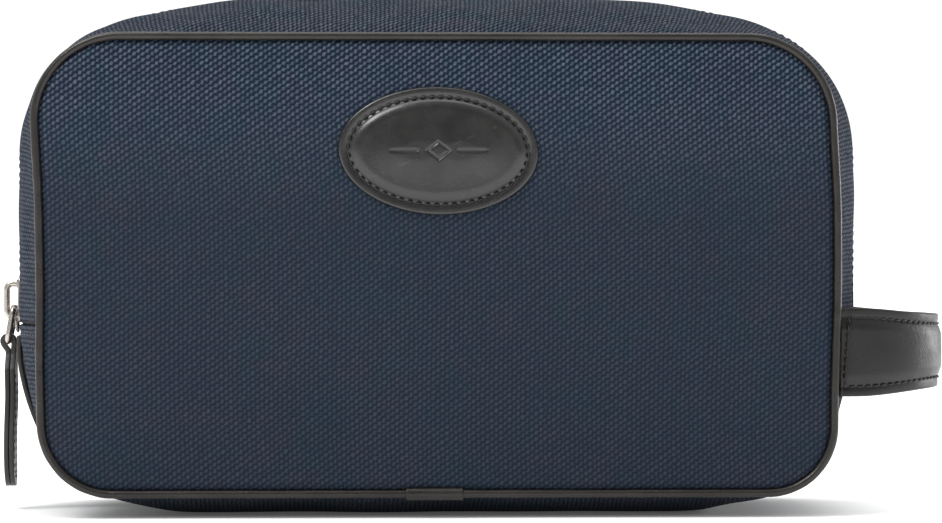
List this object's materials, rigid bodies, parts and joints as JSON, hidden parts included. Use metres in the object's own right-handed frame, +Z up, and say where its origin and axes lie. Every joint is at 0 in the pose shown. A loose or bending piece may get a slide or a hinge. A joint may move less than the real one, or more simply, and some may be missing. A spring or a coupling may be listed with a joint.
{
  "type": "shaving kit bag",
  "caption": "Zipped wash bag of woven fabric with leather piping, an oval leather patch, a leather side handle and a zip pull.",
  "frame": {"origin": "on the ground, at the middle of the flat of the base, under the middle of the bag's body", "axes": "+Z up, the front panel with the patch faces -Y, the handle is at +X and the zip pull at -X"},
  "size_m": [0.2879, 0.0948, 0.1558],
  "materials": {
    "navy_fabric": "coarse basket weave nylon",
    "black_leather": "smooth, semi-matt",
    "lining_cloth": "fine woven lining",
    "foam": "open foam",
    "nickel": "polished nickel",
    "zip_black": "nylon coil and woven tape",
    "black_thread": "waxed thread",
    "piping_core": "plain"
  },
  "bodies": {
    "bag": {"base_gusset": "navy_fabric", "base_lining": "lining_cloth", "rear_zip_strip": "navy_fabric", "front_zip_strip_ends": "navy_fabric", "rear_strip_lining": "lining_cloth", "front_strip_lining_ends": "lining_cloth", "rear_zip_tape": "zip_black", "front_zip_tape_ends": "zip_black", "rear_zip_coil": "zip_black", "front_zip_coil_ends": "zip_black", "rear_panel": "navy_fabric", "front_panel_lower": "navy_fabric", "rear_foam": "foam", "front_foam_lower": "foam", "rear_lining": "lining_cloth", "front_lining_lower": "lining_cloth", "rear_piping": "black_leather", "rear_piping_cord": "piping_core", "rear_piping_sleeve": "black_leather", "front_piping_lower": "black_leather", "front_piping_cord_lower": "piping_core", "front_piping_sleeve": "black_leather", "zip_end_tab": "black_leather", "handle_outer_ends": "black_leather", "handle_inner_ends": "black_leather", "inner_pocket": "lining_cloth", "pocket_binding": "lining_cloth"},
    "front_flap": {"front_panel_upper": "navy_fabric", "front_foam_upper": "foam", "front_lining_upper": "lining_cloth", "front_piping_upper": "black_leather", "front_piping_cord_upper": "piping_core", "front_zip_strip": "navy_fabric", "front_strip_lining": "lining_cloth", "front_zip_tape": "zip_black", "front_zip_coil": "zip_black", "patch_leather": "black_leather", "patch_padding": "foam", "patch_stitching": "black_thread"},
    "slider": {"zip_slider": "nickel", "slider_crown": "nickel"},
    "link": {"pull_link": "nickel"},
    "pull": {"zip_pull": "black_leather", "pull_stitching": "black_thread"},
    "handle": {"handle_outer": "black_leather", "handle_filler": "foam", "handle_inner": "black_leather", "handle_stitching": "black_thread"}
  },
  "joints": [
    {"name": "slider_travel", "type": "slide", "parent": "bag", "child": "slider", "axis": [0, 0, 1], "range_m": [0, 0.034]},
    {"name": "link_pivot", "type": "hinge", "parent": "slider", "child": "link", "pos_m": [-0.1289, 0, 0.0615], "axis": [0, 1, 0], "range_deg": [0, 100]},
    {"name": "pull_pivot", "type": "hinge", "parent": "link", "child": "pull", "pos_m": [-0.13069, 0, 0.05126], "axis": [0, 1, 0], "range_deg": [0, 90]},
    {"name": "handle_flex", "type": "hinge", "parent": "bag", "child": "handle", "pos_m": [0.123, 0, 0.0486], "axis": [0, -1, 0], "range_deg": [-15, 15], "stiffness_Nm_per_rad": 0.3},
    {"name": "mouth_opening", "type": "hinge", "parent": "bag", "child": "front_flap", "pos_m": [0, -0.047, 0.0726], "axis": [1, 0, 0], "range_deg": [0, 35], "stiffness_Nm_per_rad": 0.05}
  ]
}
